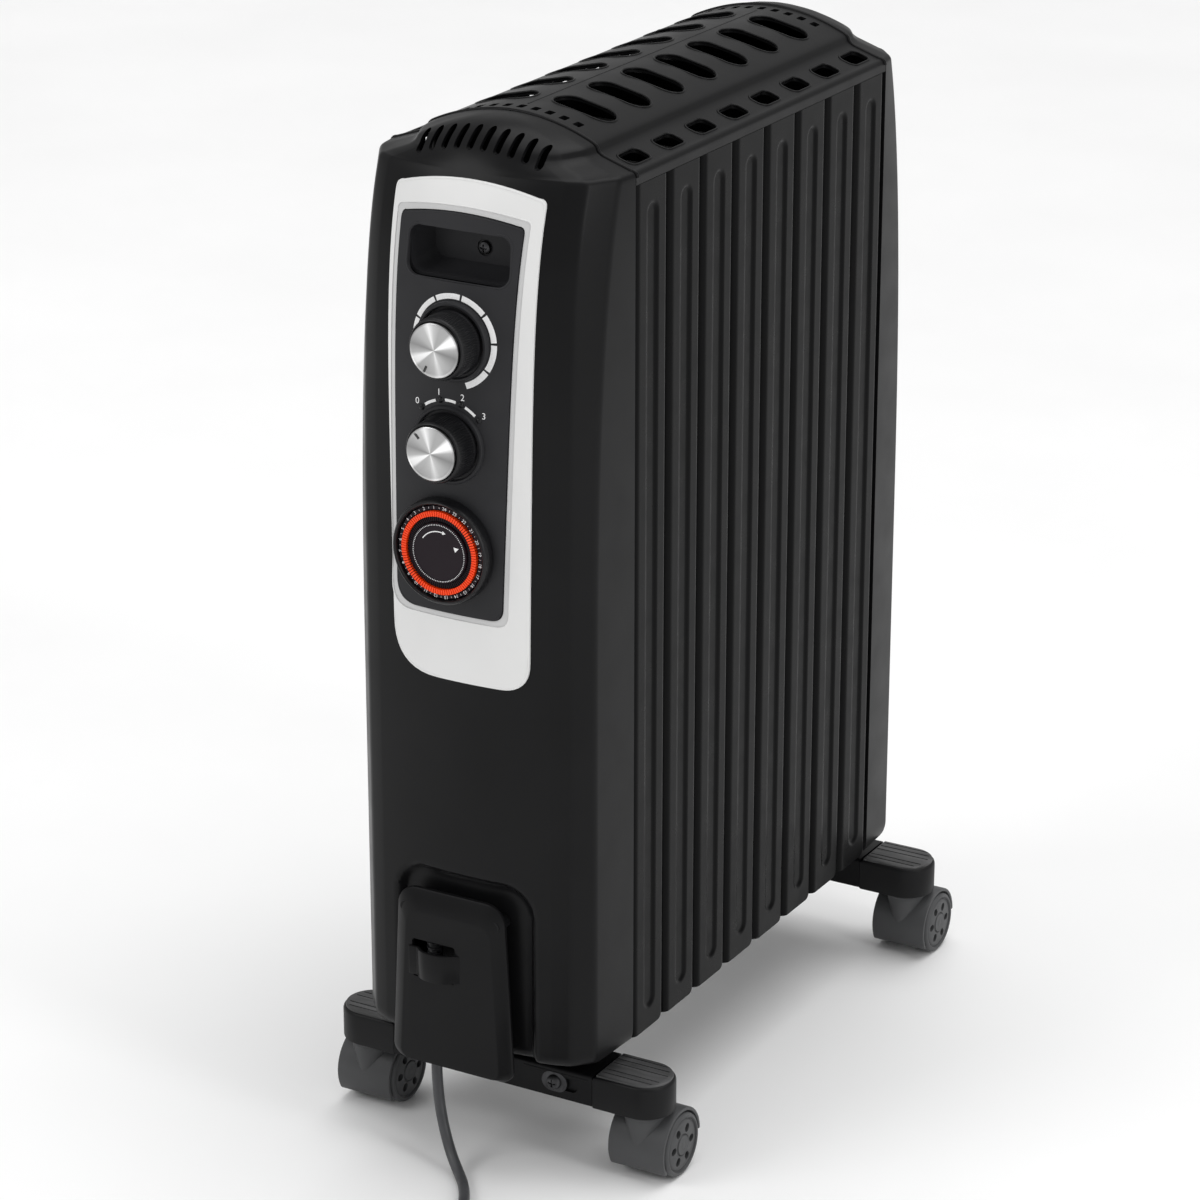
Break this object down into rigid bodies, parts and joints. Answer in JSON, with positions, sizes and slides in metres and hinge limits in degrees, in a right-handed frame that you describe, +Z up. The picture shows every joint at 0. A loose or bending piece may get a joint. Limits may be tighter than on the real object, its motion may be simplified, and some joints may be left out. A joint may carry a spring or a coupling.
{
  "type": "oil filled radiator heater",
  "caption": "Upright oil filled column heater with folded steel fins, front control housing with knobs and day timer, slotted top grille and twin wheel casters",
  "frame": {"origin": "on the floor under the centre of the object's own box, measured without the free lead", "axes": "+Z up, -Y is the front with the control panel, +X to the right as seen from the front; the fins follow each other along Y"},
  "size_m": [0.285, 0.651, 0.668],
  "materials": {
    "shell": "black injection moulded housing, fine satin grain",
    "enamel": "black semi-gloss baked enamel on pressed steel",
    "bezel": "off-white moulded panel, fine grain",
    "panel": "dark grey grained control panel",
    "knob": "black knob plastic, semi-gloss",
    "aluminium": "spun and brushed knob caps",
    "dial": "dark timer dial",
    "tappet": "orange timer tappets",
    "steel": "zinc plated steel",
    "bar": "black enamelled pressed steel",
    "arm": "black ribbed foot arm",
    "caster": "grey caster plastic",
    "device": "cream electrical moulding",
    "cord": "dark grey lead, PVC sheath"
  },
  "bodies": {
    "heater_body": {"front_housing": "shell", "bezel_panel": "bezel", "control_panel": "panel", "pocket_screw": "steel", "thermostat": "device", "selector_switch": "device", "timer_bezel": "knob", "timer_hub": "dial", "timer_movement": "device", "thermal_cutout": "steel", "tilt_switch": "device", "terminal_block": "device", "fin_1": "enamel", "fin_2": "enamel", "fin_3": "enamel", "fin_4": "enamel", "fin_5": "enamel", "fin_6": "enamel", "fin_7": "enamel", "fin_8": "enamel", "fin_9": "enamel", "heating_element": "steel", "oil_filler_plug": "steel", "top_grille": "shell", "rear_housing": "shell", "front_foot_bar": "bar", "foot_arm_front_left": "arm", "foot_arm_front_right": "arm", "rear_foot_bar": "bar", "foot_arm_rear_left": "arm", "foot_arm_rear_right": "arm", "bar_screw_left": "steel", "bar_screw_right": "steel", "cord_plate": "shell", "strain_relief": "cord", "power_cord": "cord", "cord_coil": "cord", "plug": "cord"},
    "thermostat_control": {"thermostat_knob": "knob", "thermostat_knob_cap": "aluminium"},
    "selector_control": {"selector_knob": "knob", "selector_knob_cap": "aluminium"},
    "timer_ring": {"timer_dial": "dial", "timer_tappets": "tappet"},
    "caster_front_left": {"caster_hood_front_left": "caster", "caster_axle_front_left": "steel"},
    "wheel_front_left_inner": {"wheel_front_left_inner": "caster"},
    "wheel_front_left_outer": {"wheel_front_left_outer": "caster"},
    "caster_front_right": {"caster_hood_front_right": "caster", "caster_axle_front_right": "steel"},
    "wheel_front_right_inner": {"wheel_front_right_inner": "caster"},
    "wheel_front_right_outer": {"wheel_front_right_outer": "caster"},
    "caster_rear_left": {"caster_hood_rear_left": "caster", "caster_axle_rear_left": "steel"},
    "wheel_rear_left_inner": {"wheel_rear_left_inner": "caster"},
    "wheel_rear_left_outer": {"wheel_rear_left_outer": "caster"},
    "caster_rear_right": {"caster_hood_rear_right": "caster", "caster_axle_rear_right": "steel"},
    "wheel_rear_right_inner": {"wheel_rear_right_inner": "caster"},
    "wheel_rear_right_outer": {"wheel_rear_right_outer": "caster"}
  },
  "joints": [
    {"name": "thermostat_turn", "type": "hinge", "parent": "heater_body", "child": "thermostat_control", "pos_m": [0, -0.2284, 0.545], "axis": [0, 1, 0], "range_deg": [0, 280]},
    {"name": "selector_turn", "type": "hinge", "parent": "heater_body", "child": "selector_control", "pos_m": [-0.0035, -0.2284, 0.4815], "axis": [0, 1, 0], "range_deg": [0, 93]},
    {"name": "timer_turn", "type": "hinge", "parent": "heater_body", "child": "timer_ring", "pos_m": [-0.0065, -0.2264, 0.4155], "axis": [0, 1, 0], "continuous": true},
    {"name": "caster_front_left_swivel", "type": "hinge", "parent": "heater_body", "child": "caster_front_left", "pos_m": [-0.101, -0.1674, 0.0475], "axis": [0, 0, 1], "continuous": true},
    {"name": "wheel_front_left_inner_spin", "type": "hinge", "parent": "caster_front_left", "child": "wheel_front_left_inner", "pos_m": [-0.101, -0.1564, 0.021], "axis": [1, 0, 0], "continuous": true},
    {"name": "wheel_front_left_outer_spin", "type": "hinge", "parent": "caster_front_left", "child": "wheel_front_left_outer", "pos_m": [-0.101, -0.1564, 0.021], "axis": [1, 0, 0], "continuous": true},
    {"name": "caster_front_right_swivel", "type": "hinge", "parent": "heater_body", "child": "caster_front_right", "pos_m": [0.101, -0.1674, 0.0475], "axis": [0, 0, 1], "continuous": true},
    {"name": "wheel_front_right_inner_spin", "type": "hinge", "parent": "caster_front_right", "child": "wheel_front_right_inner", "pos_m": [0.101, -0.1564, 0.021], "axis": [1, 0, 0], "continuous": true},
    {"name": "wheel_front_right_outer_spin", "type": "hinge", "parent": "caster_front_right", "child": "wheel_front_right_outer", "pos_m": [0.101, -0.1564, 0.021], "axis": [1, 0, 0], "continuous": true},
    {"name": "caster_rear_left_swivel", "type": "hinge", "parent": "heater_body", "child": "caster_rear_left", "pos_m": [-0.101, 0.2066, 0.0475], "axis": [0, 0, 1], "continuous": true},
    {"name": "wheel_rear_left_inner_spin", "type": "hinge", "parent": "caster_rear_left", "child": "wheel_rear_left_inner", "pos_m": [-0.101, 0.2176, 0.021], "axis": [1, 0, 0], "continuous": true},
    {"name": "wheel_rear_left_outer_spin", "type": "hinge", "parent": "caster_rear_left", "child": "wheel_rear_left_outer", "pos_m": [-0.101, 0.2176, 0.021], "axis": [1, 0, 0], "continuous": true},
    {"name": "caster_rear_right_swivel", "type": "hinge", "parent": "heater_body", "child": "caster_rear_right", "pos_m": [0.101, 0.2066, 0.0475], "axis": [0, 0, 1], "continuous": true},
    {"name": "wheel_rear_right_inner_spin", "type": "hinge", "parent": "caster_rear_right", "child": "wheel_rear_right_inner", "pos_m": [0.101, 0.2176, 0.021], "axis": [1, 0, 0], "continuous": true},
    {"name": "wheel_rear_right_outer_spin", "type": "hinge", "parent": "caster_rear_right", "child": "wheel_rear_right_outer", "pos_m": [0.101, 0.2176, 0.021], "axis": [1, 0, 0], "continuous": true}
  ]
}
